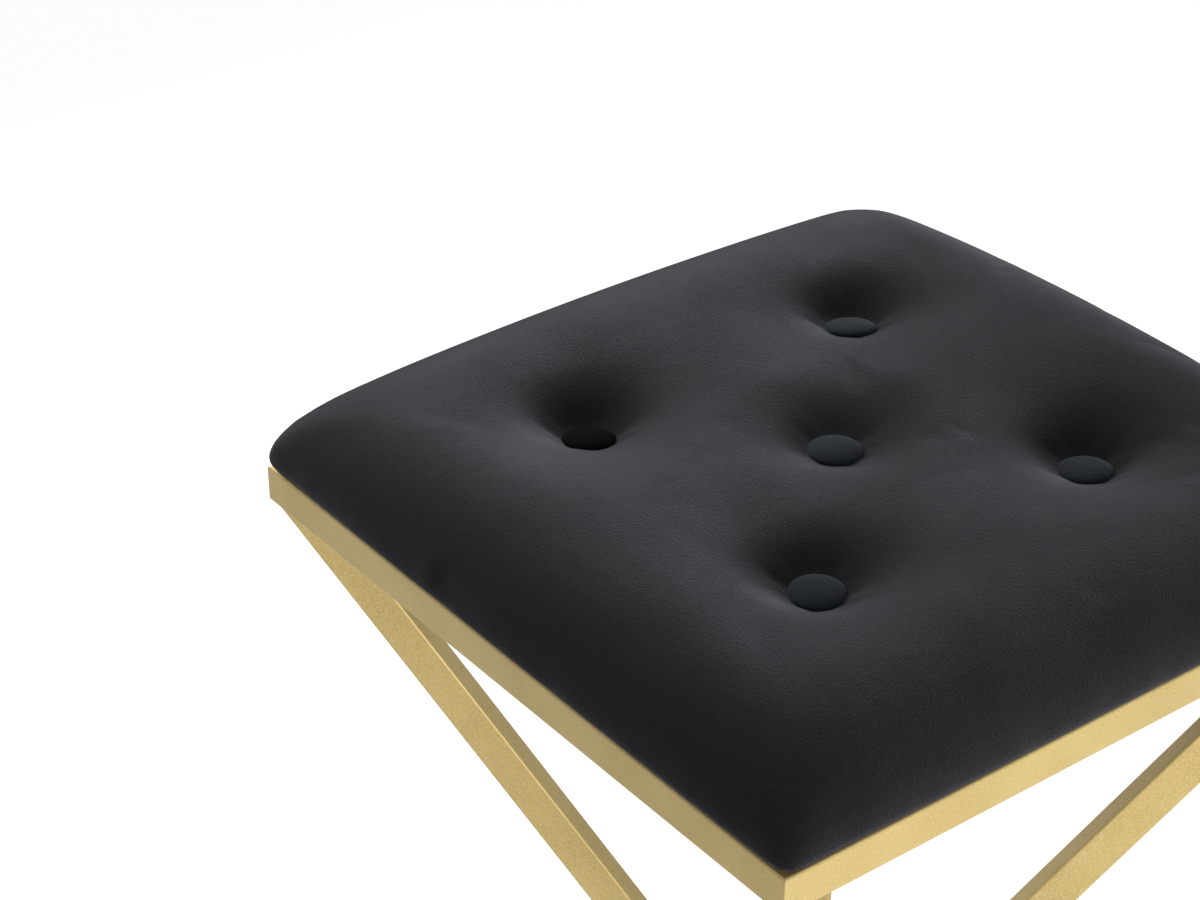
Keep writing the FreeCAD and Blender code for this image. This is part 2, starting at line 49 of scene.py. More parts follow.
class Shade:
    """One output of a node. Sums written with it in Python add Math nodes."""

    def __init__(self, wiring, socket):
        self.wiring = wiring
        self.socket = socket

    def other(self, output):
        """Another output of the same node."""
        return Shade(self.wiring, self.socket.node.outputs[output])

    def math(self, operation, first, second):
        return self.wiring.node("ShaderNodeMath", {"operation": operation}, {0: first, 1: second})

    def __add__(self, value):
        return self.math("ADD", self, value)

    def __radd__(self, value):
        return self.math("ADD", value, self)

    def __sub__(self, value):
        return self.math("SUBTRACT", self, value)

    def __rsub__(self, value):
        return self.math("SUBTRACT", value, self)

    def __mul__(self, value):
        return self.math("MULTIPLY", self, value)

    def __rmul__(self, value):
        return self.math("MULTIPLY", value, self)

    def __truediv__(self, value):
        return self.math("DIVIDE", self, value)

    def __rtruediv__(self, value):
        return self.math("DIVIDE", value, self)


class Wiring:
    """A node tree in the making."""

    def __init__(self, tree):
        self.tree = tree

    def feed(self, node, values):
        """Set or link a node's sockets."""
        for name, value in values.items():
            socket = node.inputs[name.replace("_", " ") if isinstance(name, str) else name]
            if isinstance(value, Shade):
                self.tree.links.new(value.socket, socket)
            else:
                socket.default_value = value

    def node(self, kind, settings, values, output=0):
        """Add any node: its settings first, then its sockets. Returns one of its outputs."""
        made = self.tree.nodes.new(kind)
        for name, value in settings.items():
            setattr(made, name, value)
        self.feed(made, values)
        return Shade(self, made.outputs[output])

    def between(self, value, low, high, to_low=0.0, to_high=1.0):
        """Value clamped between low and high, and mapped onto another range."""
        return self.node("ShaderNodeMapRange", {"clamp": True}, {
            0: value, 1: low, 2: high, 3: to_low, 4: to_high,
        })


class Finish(Wiring):
    """A material in the making, with one Principled shader."""

    def __init__(self, name, **constants):
        self.material = bpy.data.materials.new(name)
        self.material.use_nodes = True
        super().__init__(self.material.node_tree)
        self.shader = self.tree.nodes["Principled BSDF"]
        self.feed(self.shader, constants)
        self.place = self.node("ShaderNodeTexCoord", {}, {}, "Object")

    def noise(self, scale, detail, roughness=0.5, place=None):
        return self.node("ShaderNodeTexNoise", {"noise_dimensions": "3D"}, {
            "Vector": place or self.place, "Scale": scale, "Detail": detail, "Roughness": roughness,
        })

    def mix(self, factor, first, second):
        """Mix of two colours, each a link or three numbers."""
        first, second = (tone if isinstance(tone, Shade) else (*tone, 1) for tone in (first, second))
        return self.node("ShaderNodeMix", {"data_type": "RGBA"}, {0: factor, 6: first, 7: second}, 2)

    def bump(self, height, strength, distance, **normal):
        """Relief on the shader's normal, or on the one given."""
        return self.node("ShaderNodeBump", {}, {
            "Height": height, "Strength": strength, "Distance": distance, **normal,
        })

    def surface(self, **values):
        """Feed the shader, and hand the finished material over."""
        self.feed(self.shader, values)
        return self.material


def coat(mesh, material):
    """Give a mesh its one finish."""
    mesh.materials.clear()
    mesh.materials.append(material)


def coat_nodes(names, material):
    """Give CAD nodes their finish."""
    for name in names:
        coat(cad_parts[name].data, material)


# Most of a noise texture's values lie in this range.
SPREAD = (0.3, 0.7)
GOLD_DEEP = (0.470, 0.342, 0.120)
GOLD_PALE = (0.520, 0.386, 0.144)
FLAKE_GLINT_TONE = (0.74, 0.60, 0.30)
FLAKE_GLINT_SHARE = 0.48
gold = Finish("gold_coat", Metallic=0.25, Specular_IOR_Level=0.2)
flake = gold.noise(1000, 2.0, 0.7)
cloud = gold.noise(26, 3.0)
flake_spots_and_glint = gold.between(flake, 0.38, 0.66)
gold_tone = gold.mix(gold.between(cloud, 0.35, 0.65), GOLD_DEEP, GOLD_PALE)
# The flakes show as lighter, yellower specks in the base colour, which is a painted glint. The flakes are
# also a little rougher than the coat round them.
gold_coat = gold.surface(
    Base_Color=gold.mix(flake_spots_and_glint * FLAKE_GLINT_SHARE, gold_tone, FLAKE_GLINT_TONE),
    Roughness=0.40 + flake_spots_and_glint * 0.14 - gold.between(cloud, *SPREAD) * 0.05,
    Normal=gold.bump(flake, 0.015, 0.00025),
)
CORNERS = ("front_left", "front_right", "back_right", "back_left")
SIDES = ("front", "right", "back", "left")
coat_nodes([f"{level}_rail_{side}" for level in ("seat", "base") for side in SIDES], gold_coat)
coat_nodes([f"{part}_{corner}" for part in ("upper_leg", "lower_leg", "seat_tab") for corner in CORNERS],
           gold_coat)

# Levelling glides: moulded nylon feet on zinc-plated threaded stems, which turn in rivet
# nuts set into the floor frame's underside.


def grained_finish(name, grain, tones, roughness, bump=None, **constants):
    """A finish whose tone, roughness and relief all follow one fine grain."""
    made = Finish(name, **constants)
    height = made.noise(*grain)
    if bump is not None:
        made.surface(Normal=made.bump(height, *bump))
    return made.surface(
        Base_Color=made.mix(made.between(height, *SPREAD), *tones),
        Roughness=made.between(height, *SPREAD, *roughness),
    )


glide_nylon = grained_finish(
    "glide_nylon", grain=(900, 3.0), tones=((0.012, 0.012, 0.013), (0.022, 0.022, 0.024)),
    roughness=(0.42, 0.62), bump=(0.25, 0.0004), Specular_IOR_Level=0.4,
)
zinc_plate = grained_finish(
    "zinc_plate", grain=(420, 2.0), tones=((0.52, 0.53, 0.54), (0.66, 0.67, 0.68)),
    roughness=(0.26, 0.42), Metallic=1.0,
)
coat_nodes([f"glide_foot_{corner}" for corner in CORNERS], glide_nylon)
coat_nodes(["rivet_nuts", "tee_nuts", "seat_screws"], zinc_plate)


def mesh_object(name, points, faces, edges=()):
    mesh = bpy.data.meshes.new(name)
    mesh.from_pydata([tuple(p) for p in points], edges, faces)
    mesh.update()
    made = bpy.data.objects.new(name, mesh)
    bpy.context.scene.collection.objects.link(made)
    return made


def settle(piece):
    """Make a piece's modifiers part of its mesh."""
    done = bpy.data.meshes.new_from_object(piece.evaluated_get(bpy.context.evaluated_depsgraph_get()))
    piece.modifiers.clear()
    piece.data = done
    piece.data.shade_smooth()


class Layout(Wiring):
    """A Geometry Nodes tree in the making, with named sizes, to be run once on a piece."""

    def __init__(self, name, **sizes):
        super().__init__(bpy.data.node_groups.new(name, "GeometryNodeTree"))
        self.sizes = sizes
        self.tree.interface.new_socket("Geometry", in_out="INPUT", socket_type="NodeSocketGeometry")
        for size in sizes:
            self.tree.interface.new_socket(size, in_out="INPUT", socket_type="NodeSocketFloat")
        self.tree.interface.new_socket("Geometry", in_out="OUTPUT", socket_type="NodeSocketGeometry")
        self.given = self.node("NodeGroupInput", {}, {}, "Geometry")

    def size(self, name):
        return self.given.other(name)

    def join(self, *parts):
        gathered = self.node("GeometryNodeJoinGeometry", {}, {})
        for part in parts:
            self.tree.links.new(part.socket, gathered.socket.node.inputs[0])
        return gathered

    def move(self, part, x=0.0, y=0.0, z=0.0):
        shift = self.node("ShaderNodeCombineXYZ", {}, {"X": x, "Y": y, "Z": z})
        return self.node("GeometryNodeTransform", {}, {"Geometry": part, "Translation": shift})

    def bent_path(self, steps, radius):
        """The piece's own edges as a path, with its corners bent round."""
        path = self.node("GeometryNodeMeshToCurve", {}, {"Mesh": self.given})
        return self.node("GeometryNodeFilletCurve", {"mode": "POLY"},
                         {"Curve": path, "Count": steps, "Radius": radius})

    def circle(self, sides, radius):
        return self.node("GeometryNodeCurvePrimitiveCircle", {"mode": "RADIUS"},
                         {"Resolution": sides, "Radius": radius})

    def sweep(self, path, section, caps):
        """A section carried along a path."""
        return self.node("GeometryNodeCurveToMesh", {},
                         {"Curve": path, "Profile_Curve": section, "Fill_Caps": caps})

    def run(self, result, piece, material):
        """End the tree in real faces with their finish, and make them the piece's mesh."""
        whole = self.node("GeometryNodeRealizeInstances", {}, {"Geometry": result})
        coated = self.node("GeometryNodeSetMaterial", {}, {"Geometry": whole, "Material": material})
        self.feed(self.tree.nodes.new("NodeGroupOutput"), {"Geometry": coated})
        modifier = piece.modifiers.new(self.tree.name, "NODES")
        modifier.node_group = self.tree
        for item in self.tree.interface.items_tree:
            if item.in_out == "INPUT" and item.name in self.sizes:
                modifier[item.identifier] = self.sizes[item.name]
        settle(piece)


THREAD_PITCH = 0.001
THREAD_DEPTH = 0.0005
STEPS_PER_TURN = 28
RIDGE_SIDES = 4
CORE_SIDES = 32
for corner in CORNERS:
    low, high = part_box(f"glide_stem_{corner}")
    rod = Layout("rolled_thread", Pitch=THREAD_PITCH, Depth=THREAD_DEPTH, Radius=(high.x - low.x) / 2,
                 Length=high.z - low.z, East=(low.x + high.x) / 2, North=(low.y + high.y) / 2, Foot=low.z)
    depth, length = rod.size("Depth"), rod.size("Length")
    root = rod.size("Radius") - depth
    threaded = length - depth * 2
    helix = rod.node("GeometryNodeCurveSpiral", {}, {
        "Resolution": STEPS_PER_TURN, "Rotations": threaded / rod.size("Pitch"),
        "Start_Radius": root, "End_Radius": root, "Height": threaded,
    })
    thread = rod.sweep(helix, rod.circle(RIDGE_SIDES, depth), True)
    core = rod.node("GeometryNodeMeshCylinder", {"fill_type": "NGON"},
                    {"Vertices": CORE_SIDES, "Radius": root, "Depth": length})
    both = rod.join(rod.move(thread, z=depth), rod.move(core, z=length * 0.5))
    stem = mesh_object(f"threaded_stem_{corner}", [], [])
    rod.run(rod.move(both, rod.size("East"), rod.size("North"), rod.size("Foot")), stem, zinc_plate)
    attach(stem, f"glide_{corner}")
    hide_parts(f"glide_stem_{corner}")

# Seat board: birch plywood, cut square with rounded corners and drilled for its fixings. It is
# screwed to the frame's corner tabs, and the cover is pulled over its plied edge.

PLY_DARK = (0.42, 0.27, 0.14)
PLY_LIGHT = (0.56, 0.40, 0.23)
FIBRE_TONE = (0.64, 0.48, 0.29)
birch = Finish("birch_ply")
plies = birch.node("ShaderNodeTexWave", {"wave_type": "BANDS", "bands_direction": "Z"}, {
    "Vector": birch.place, "Scale": 190.0, "Distortion": 0.4, "Detail": 2.0,
})
stretch = birch.node("ShaderNodeMapping", {}, {"Vector": birch.place, "Scale": (12, 260, 260)})
wood_fibre = birch.noise(1.0, 4.0, 0.6, stretch)
ply_tone = birch.mix(birch.between(plies, 0.2, 0.8), PLY_DARK, PLY_LIGHT)
birch_ply = birch.surface(
    Base_Color=birch.mix(birch.between(wood_fibre, *SPREAD), ply_tone, FIBRE_TONE),
    Roughness=birch.between(wood_fibre, *SPREAD, 0.55, 0.75),
    Normal=birch.bump(wood_fibre, 0.2, 0.0003),
)
coat_nodes(["seat_board"], birch_ply)

# Seat pad: foam on the board under black velvet, drawn down by five buttons. The cover is
# cut full, pulled over the board's edge and stapled under it, so it has no seam in view.
# The filling stands fullest along the middle of each side and gives way at the corners.

RAIL_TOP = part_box("seat_rail_front")[1].z
low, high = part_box("tuft_button_back_right")
TUFT_PITCH = (low.x + high.x) / 2
low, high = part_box("tuft_button_centre")
BUTTON_RADIUS = (high.x - low.x) / 2
PAD_HALF = 0.2022
SIDE_BULGE = 0.0018
PAD_TUCK = 0.0012
FULL_HEIGHT = 0.0056
CROWN = 0.0470
ROLL_IN = 0.0467
CORNER_ROUND = 0.0080
CORNER_EASE = 0.040
CORNER_DROP = 0.0104
SIDE_PUFF = {"front": 0.0060, "right": 0.0080, "back": 0.0145, "left": 0.0052}
EDGE_LIFT = 0.0004
BOARD_LIFT = 0.0011
# Rings of points that lay out the pad: under it and on its top as shares of the way out, and
# round its edge in degrees.
UNDER_RINGS = np.linspace(0.04, 0.96, 10)
EDGE_RINGS = range(-84, 91, 7)
TOP_RINGS = np.linspace(0.97, 0.02, 44)
POINTS_AROUND = 256
# Each tuft: place in pitches, the cloth's height under its button, the funnel's reach, how much
# steeper its wall is by the button, and the button's lean to the back left, in degrees.
TUFTS = {
    "centre": (0, 0, 0.0306, 0.038, 2.3, 0),
    "front_left": (-1, -1, 0.0272, 0.044, 2.8, 8),
    "front_right": (1, -1, 0.0292, 0.042, 2.4, -2),
    "back_right": (1, 1, 0.0295, 0.044, 2.6, 4),
    "back_left": (-1, 1, 0.0320, 0.040, 2.9, 11),
}
LEAN_WAY = Vector((-0.8, 0.6, 0))
# Each funnel runs out further towards the back, in a trough, and stands in a shallow dip.
TROUGH = 0.5
TROUGH_WAY = math.radians(105)
DIP_DEPTH = 0.0040
DIP_SPREAD = 0.050


def rounded_square(half, corner, count):
    """Points round a square with rounded corners, evenly spread along its outline."""
    straight = half - corner
    run, bend = 2 * straight, corner * math.pi / 2
    travel = (run + bend) * np.arange(count // 4) / (count // 4)
    angle = np.clip((travel - run) / corner, 0, None)
    x = np.where(travel <= run, half, straight + corner * np.cos(angle))
    y = np.where(travel <= run, travel - straight, straight + corner * np.sin(angle))
    return np.concatenate([np.c_[x, y], np.c_[-y, x], np.c_[-x, -y], np.c_[y, -x]])


def pad_ring(half, corner, height, share):
    """One ring of the pad. Each point has a fourth number, its share of the crown's lift."""
    plan = rounded_square(half, corner, POINTS_AROUND)
    u, v = plan[:, 0] / half, plan[:, 1] / half
    belly = SIDE_BULGE / PAD_HALF * half / PAD_HALF
    plan = np.c_[plan[:, 0] * (1 + belly * (1 - v ** 2)), plan[:, 1] * (1 + belly * (1 - u ** 2))]
    return np.c_[plan, np.full(POINTS_AROUND, height), np.full(POINTS_AROUND, share)]


def pad_rings():
    """Rings of the pad from the middle of its underside, round the edge, to the crown."""
    rings = []
    for reach in UNDER_RINGS:
        rings.append(pad_ring((PAD_HALF - PAD_TUCK) * reach, CORNER_ROUND * reach, BOARD_LIFT, 0))
    for degrees in EDGE_RINGS:
        rise, turned = math.sin(math.radians(degrees)), 1 - math.cos(math.radians(degrees))
        if degrees < 0:
            height = EDGE_LIFT + (FULL_HEIGHT - EDGE_LIFT) * (1 + rise)
            rings.append(pad_ring(PAD_HALF - PAD_TUCK * turned, CORNER_ROUND, height, 0))
        else:
            height = FULL_HEIGHT + (CROWN - FULL_HEIGHT) * rise
            corner = CORNER_ROUND + CORNER_EASE * turned
            rings.append(pad_ring(PAD_HALF - ROLL_IN * turned, corner, height, rise))
    for reach in TOP_RINGS:
        rings.append(pad_ring((PAD_HALF - ROLL_IN) * reach, (CORNER_ROUND + CORNER_EASE) * reach, CROWN, 1))
    return np.array(rings)


def ring_faces(levels, around, first=0, looped=False):
    """Faces between rings of points, closed at both ends, or with the last ring joined to the first."""
    faces = []
    for level in range(levels if looped else levels - 1):
        low, high = first + level * around, first + (level + 1) % levels * around
        for step in range(around):
            after = (step + 1) % around
            faces.append((low + step, low + after, high + after, high + step))
    if not looped:
        faces.append(tuple(range(first + around - 1, first - 1, -1)))
        faces.append(tuple(range(first + (levels - 1) * around, first + levels * around)))
    return faces


def pad_lift(x, y):
    """How far the filling stands above the plain crown: full along the sides, low at the corners."""
    u, v = x / PAD_HALF, y / PAD_HALF
    lift = -CORNER_DROP * np.abs(u * v) ** 3
    for side, out, along in (("front", -v, u), ("right", u, v), ("back", v, u), ("left", -u, v)):
        lift += SIDE_PUFF[side] * np.clip(out, 0, 1) ** 2 * (1 - along ** 2)
    return lift


def from_tufts(points):
    """Distance and bearing of points from each tuft's middle, one row for each tuft."""
    middles = np.array([(east, north) for east, north, *_ in TUFTS.values()]) * TUFT_PITCH
    x, y = points[:, 0] - middles[:, :1], points[:, 1] - middles[:, 1:]
    return np.hypot(x, y), np.arctan2(y, x)


def lean_drop(lean, x, y):
    """How far a leaning button's face lies under its middle."""
    return math.sin(math.radians(lean)) * (x * LEAN_WAY.x + y * LEAN_WAY.y)


def bell(span, width):
    """1 in the middle, falling away smoothly to both sides."""
    return np.exp(-(span / width) ** 2)


rings = pad_rings()
shape, share = rings[..., :3].reshape(-1, 3), rings[..., 3].ravel()
distances, bearings = from_tufts(shape)
dips = DIP_DEPTH * np.exp(-(distances / DIP_SPREAD) ** 2 / 2).sum(axis=0)
shape[:, 2] += share * (pad_lift(shape[:, 0], shape[:, 1]) - dips)
for distance, bearing, tuft in zip(distances, bearings, TUFTS.values()):
    east, north, seat, reach, steep, lean = tuft
    drop = lean_drop(lean, shape[:, 0] - east * TUFT_PITCH, shape[:, 1] - north * TUFT_PITCH)
    bed = seat - drop * bell(distance, reach)
    run_out = reach * (1 + TROUGH * np.clip(np.cos(bearing - TROUGH_WAY), 0, 1) ** 2)
    hold = share * (1 - np.clip((distance - BUTTON_RADIUS) / run_out, 0, 1)) ** steep
    shape[:, 2] += hold * (bed - shape[:, 2])
shape[:, 2] += RAIL_TOP
pad = mesh_object("velvet_pad", shape, ring_faces(len(rings), POINTS_AROUND))
VOXEL = 0.005
remesh = pad.modifiers.new("even", "REMESH")
remesh.mode = "VOXEL"
remesh.voxel_size = VOXEL
settle(pad)

# The cover swells under the filling's pressure, held where it is stapled and at the buttons.
SWELL_CAP = 0.008
SWELL_FRAMES = 20
GRIP_WIDTH = 0.004
TINY = 1e-9


def mesh_values(mesh, kind):
    """A mesh's points, "co", or their normals, "normal", one row for each."""
    values = np.empty(len(mesh.vertices) * 3, np.float32)
    mesh.vertices.foreach_get(kind, values)
    return values.reshape(-1, 3).astype(float)


def set_points(mesh, points):
    mesh.vertices.foreach_set("co", points.astype(np.float32).ravel())
    mesh.update()


def divide_once(piece):
    """Divide a piece's faces once, which rounds them."""
    smooth = piece.modifiers.new("smooth", "SUBSURF")
    smooth.levels = smooth.render_levels = 1
    settle(piece)


start = mesh_values(pad.data, "co")
held = pad.vertex_groups.new(name="held")
stapled = np.where(start[:, 2] < RAIL_TOP + GRIP_WIDTH, 1.0, 0.0)
nearest = from_tufts(start)[0].min(axis=0)
grip = np.maximum(stapled, np.clip((BUTTON_RADIUS + GRIP_WIDTH - nearest) / GRIP_WIDTH, 0, 1))
for index in np.flatnonzero(grip > 0):
    held.add([int(index)], float(grip[index]), "REPLACE")
cloth = pad.modifiers.new("cloth", "CLOTH")
cloth.settings.quality = 6
cloth.settings.mass = 0.3
cloth.settings.tension_stiffness = 12
cloth.settings.compression_stiffness = 12
cloth.settings.shear_stiffness = 6
cloth.settings.bending_stiffness = 1.5
cloth.settings.use_pressure = True
cloth.settings.uniform_pressure_force = 4
cloth.settings.vertex_group_mass = "held"
cloth.settings.pin_stiffness = 1.0
cloth.settings.effector_weights.gravity = 0
cloth.collision_settings.use_collision = False
cloth.point_cache.frame_start = 1
cloth.point_cache.frame_end = SWELL_FRAMES
for moment in range(1, SWELL_FRAMES + 1):
    bpy.context.scene.frame_set(moment)
settle(pad)
pad.vertex_groups.clear()
shift = mesh_values(pad.data, "co") - start
length = np.linalg.norm(shift, axis=1, keepdims=True)
set_points(pad.data, start + shift * np.minimum(1, SWELL_CAP / np.maximum(length, TINY)))
bpy.context.scene.frame_set(1)
divide_once(pad)

# Small folds come last: gathers round the buttons, tension ripples above the rail, and one
# pinched crease in the front side, steep on its left and easy on its right, beside a bulge.
GATHER_DEPTH = 0.0002
GATHER_OUT = 0.005
GATHER_SPREAD = 0.008
# Each set of gathers: how many round a button, share, and turn from one button to the next.
GATHERS = ((7, 1.0, 1.9), (11, 0.6, -2.3))
RIPPLE_DEPTH = 0.00009
RIPPLE_HEIGHT = 0.008
RIPPLE_SPREAD = 0.008
# Each set of ripples: radians to the metre, share, and start.
RIPPLES = ((163, 1.0, 0.0), (291, 0.7, 1.3), (83, 0.5, 0.4))
CREASE_EAST = -0.041
CREASE_HEIGHT = 0.016
CREASE_DEPTH = 0.0012
CREASE_SLANT = 0.45
CREASE_CLIMB = 0.010
CREASE_STEEP = 0.007
CREASE_EASY = 0.024
BULGE_SHARE = 0.6
BULGE_OUT = 0.013
BULGE_SPREAD = 0.009
FRONT_BAND = 0.03
points, normals = mesh_values(pad.data, "co"), mesh_values(pad.data, "normal")
above_rail = points[:, 2] - RAIL_TOP
move = np.zeros(len(points))
for order, (distance, bearing) in enumerate(zip(*from_tufts(points))):
    waves = sum(part * np.sin(count * bearing + turn * order) for count, part, turn in GATHERS)
    band = bell(distance - BUTTON_RADIUS - GATHER_OUT, GATHER_SPREAD)
    move += GATHER_DEPTH * waves * band * (above_rail > FULL_HEIGHT)
along = points[:, 0] - points[:, 1] * np.sign(points[:, 0] * points[:, 1] + TINY)
waves = sum(part * np.sin(along * rate + start) for rate, part, start in RIPPLES)
move += RIPPLE_DEPTH * bell(above_rail - RIPPLE_HEIGHT, RIPPLE_SPREAD) * waves
climb = above_rail - CREASE_HEIGHT
across = points[:, 0] - CREASE_EAST - CREASE_SLANT * climb
pinch = np.where(across < 0, bell(across, CREASE_STEEP), bell(across, CREASE_EASY))
pinch -= BULGE_SHARE * bell(across + BULGE_OUT, BULGE_SPREAD)
move -= CREASE_DEPTH * pinch * bell(climb, CREASE_CLIMB) * (points[:, 1] < -PAD_HALF + FRONT_BAND)
set_points(pad.data, points + normals * move[:, None])

# The pile leans along the nap, which runs with the cloth over the edges: to the back on top and
# up the front side. It is brushed hardest at the front left, turned back along the back edge,
# pressed flat round the buttons, and turned to the front right on the walls behind them.
NAP = np.array((0.0, 1.0, 0.0))
UP = np.array((0.0, 0.0, 1.0))
BACK_RIGHT = np.array((0.6, 0.8, 0.0))
FRONT_RIGHT = np.array((0.8, -0.6, 0.0))
PILE_LEAN = 0.26
EASE_TO_BACK_RIGHT = 0.13
EASE_TO_FRONT_RIGHT = 0.03
LEAN_LIMITS = (0.04, 0.4)
LEAN_AT_BACK = -0.30
BACK_START = 0.5
UNDERSIDE_LIMIT = 0.05
PRESSED_SPREAD = 0.026
PRESSED = 0.8
TURNED_SIDE = math.radians(62)
TURNED_LEAN = 0.03


def lay_pile(mesh, lean):
    """Store how the pile leans at each point, for the velvet's shading."""
    stored = mesh.attributes.new("pile_lean", "FLOAT_VECTOR", "POINT")
    stored.data.foreach_set("vector", lean.astype(np.float32).ravel())


points, normals = mesh_values(pad.data, "co"), mesh_values(pad.data, "normal")
bend = (normals @ NAP) / np.maximum(1 + normals[:, 2], UNDERSIDE_LIMIT)
nap_way = NAP - bend[:, None] * (normals + UP)
to_back_right = points @ BACK_RIGHT / PAD_HALF
to_front_right = points @ FRONT_RIGHT / PAD_HALF
lean = PILE_LEAN - EASE_TO_BACK_RIGHT * to_back_right - EASE_TO_FRONT_RIGHT * to_front_right
lean = np.clip(lean, *LEAN_LIMITS)
lean += LEAN_AT_BACK * np.clip((points[:, 1] / PAD_HALF - BACK_START) / (1 - BACK_START), 0, 1) ** 2
pile = nap_way * lean[:, None]
for distance, bearing in zip(*from_tufts(points)):
    near = bell(np.maximum(distance - BUTTON_RADIUS, 0), PRESSED_SPREAD)
    turned = near * np.clip(np.cos(bearing - TURNED_SIDE), 0, 1)
    pile *= (1 - PRESSED * near)[:, None]
    pile += TURNED_LEAN * turned[:, None] * FRONT_RIGHT
lay_pile(pad.data, pile)

PILE_SCALE = 850
BRUSH_SCALE = 17
LINT_SCALE = 70.0
LINT_TONE = (0.16, 0.16, 0.17)


def velvet_finish(name, dark, light, sheen_tint):
    """Short-pile velvet, brushed in soft patches, with a fine grain and a few specks of lint."""
    velvet = Finish(name, Specular_IOR_Level=0.02, Sheen_Weight=0.55, Sheen_Roughness=0.46,
                    Sheen_Tint=(*sheen_tint, 1))
    pile = velvet.noise(PILE_SCALE, 1.5, 0.6)
    stroke = velvet.noise(BRUSH_SCALE, 3.0, 0.55)
    brushed = velvet.between(stroke, 0.34, 0.66)
    grain = velvet.between(pile, 0.32, 0.68)
    face = velvet.node("ShaderNodeNewGeometry", {}, {}, "Normal")
    lean = velvet.node("ShaderNodeVectorMath", {"operation": "SCALE"}, {
        0: velvet.node("ShaderNodeAttribute", {"attribute_name": "pile_lean"}, {}, "Vector"),
        "Scale": 0.55 + brushed * 0.5 + grain * 0.4,
    })
    leaning = velvet.node("ShaderNodeVectorMath", {"operation": "ADD"}, {0: face, 1: lean})
    nap = velvet.node("ShaderNodeVectorMath", {"operation": "NORMALIZE"}, {0: leaning})
    specks = velvet.node("ShaderNodeTexVoronoi", {},
                         {"Vector": velvet.place, "Scale": LINT_SCALE}, "Distance")
    chance = velvet.node("ShaderNodeSeparateColor", {}, {0: specks.other("Color")})
    lint = velvet.between(specks, 0.018, 0.030, 1, 0) * velvet.between(chance, 0.965, 0.97)
    cloth_tone = velvet.mix(grain * 0.5 + brushed * 0.3, dark, light)
    return velvet.surface(
        Base_Color=velvet.mix(lint, cloth_tone, LINT_TONE),
        Roughness=velvet.between(stroke, *SPREAD, 0.82, 0.95),
        Normal=velvet.bump(pile, 0.5, 0.0006, Normal=nap),
    )


black_velvet = velvet_finish("black_velvet", (0.0068, 0.0067, 0.0074), (0.0134, 0.0132, 0.0145),
                             (0.42, 0.415, 0.46))
coat(pad.data, black_velvet)
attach(pad, "frame")
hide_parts("seat_cover", "seat_foam")

# Buttons: domed tin shells covered in the same velvet, stretched smooth over them and
# gathered under the rim, pulled down into the tufts by waxed twine.

BUTTON_SIDES = 64
# The shell's outline from the middle of its back to the top of its dome: radius, height.
BUTTON_OUTLINE = (
    (0.0040, -0.0012), (0.0105, -0.0012), (0.0124, -0.0006), (0.0134, 0.0006),
    (0.0135, 0.0014), (0.0131, 0.0023), (0.0120, 0.0031), (0.0100, 0.0039),
    (0.0074, 0.0045), (0.0042, 0.0049), (0.0012, 0.0050),
)
RIM_GATHERS = 16
RIM_GATHER_DEPTH = 0.012
# The wire eye under the shell.
EYE_RADIUS = 0.0018
EYE_WIRE = 0.0006
EYE_DROP = 0.0030
EYE_STEPS = 24
EYE_SIDES = 8
BUTTON_LIFT = 0.0008
# One button's pile is turned the other way, and its velvet is a darker copy with less sheen: painted shade
# for the shadow deep in its tuft.
PAINTED_SHADE_BUTTON = "front_left"
BUTTON_LEAN = {tuft: (0.05, 0.07, 0) for tuft in TUFTS}
BUTTON_LEAN[PAINTED_SHADE_BUTTON] = (0.28, -0.21, 0)
# The buttons' velvet is lighter and bluer than the pad's. Part of this is its stretched, opened pile, and
# part is the bluish reflection on the domes, painted into its colour.
button_velvet = velvet_finish("button_velvet", (0.0155, 0.0195, 0.0222), (0.0290, 0.0360, 0.0405),
                              (0.20, 0.215, 0.23))
# A darker copy of the button velvet: painted shade for the button that sits in shadow.
dark_button_velvet = velvet_finish("dark_button_velvet", (0.0040, 0.0045, 0.0050),
                                   (0.0080, 0.0088, 0.0095), (0.10, 0.105, 0.11))
turn = np.arange(BUTTON_SIDES) * math.tau / BUTTON_SIDES
shell_rings = []
for radius, height in BUTTON_OUTLINE:
    rim = radius * (1 + (RIM_GATHER_DEPTH * np.cos(RIM_GATHERS * turn) if height < 0 else 0))
    shell_rings.append(np.c_[rim * np.cos(turn), rim * np.sin(turn), np.full(BUTTON_SIDES, height)])
level_shell = np.concatenate(shell_rings)
ring, wire = np.meshgrid(np.arange(EYE_STEPS) * math.tau / EYE_STEPS,
                         np.arange(EYE_SIDES) * math.tau / EYE_SIDES, indexing="ij")
swing = EYE_RADIUS + EYE_WIRE * np.cos(wire)
eye = np.stack([EYE_WIRE * np.sin(wire), swing * np.cos(ring), swing * np.sin(ring) - EYE_DROP], -1)
button_faces = ring_faces(len(BUTTON_OUTLINE), BUTTON_SIDES)
button_faces += ring_faces(EYE_STEPS, EYE_SIDES, first=len(level_shell), looped=True)
for tuft, (east, north, seat, _, _, lean) in TUFTS.items():
    shell = level_shell.copy()
    shell[:, 2] -= lean_drop(lean, shell[:, 0], shell[:, 1])
    middle = Vector((east * TUFT_PITCH, north * TUFT_PITCH, RAIL_TOP + seat + BUTTON_LIFT))
    button_points = np.concatenate([shell, eye.reshape(-1, 3)]) + middle
    button = mesh_object(f"covered_button_{tuft}", button_points, button_faces)
    divide_once(button)
    lay_pile(button.data, np.tile(BUTTON_LEAN[tuft], (len(button.data.vertices), 1)))
    coat(button.data, dark_button_velvet if tuft == PAINTED_SHADE_BUTTON else button_velvet)
    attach(button, "frame")
    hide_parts(f"tuft_button_{tuft}")

# Button ties: a loop of waxed two-ply twine through each button's eye, down through the foam
# and the board, held by a toggle of pressed fibre in a recess of the board's underside.

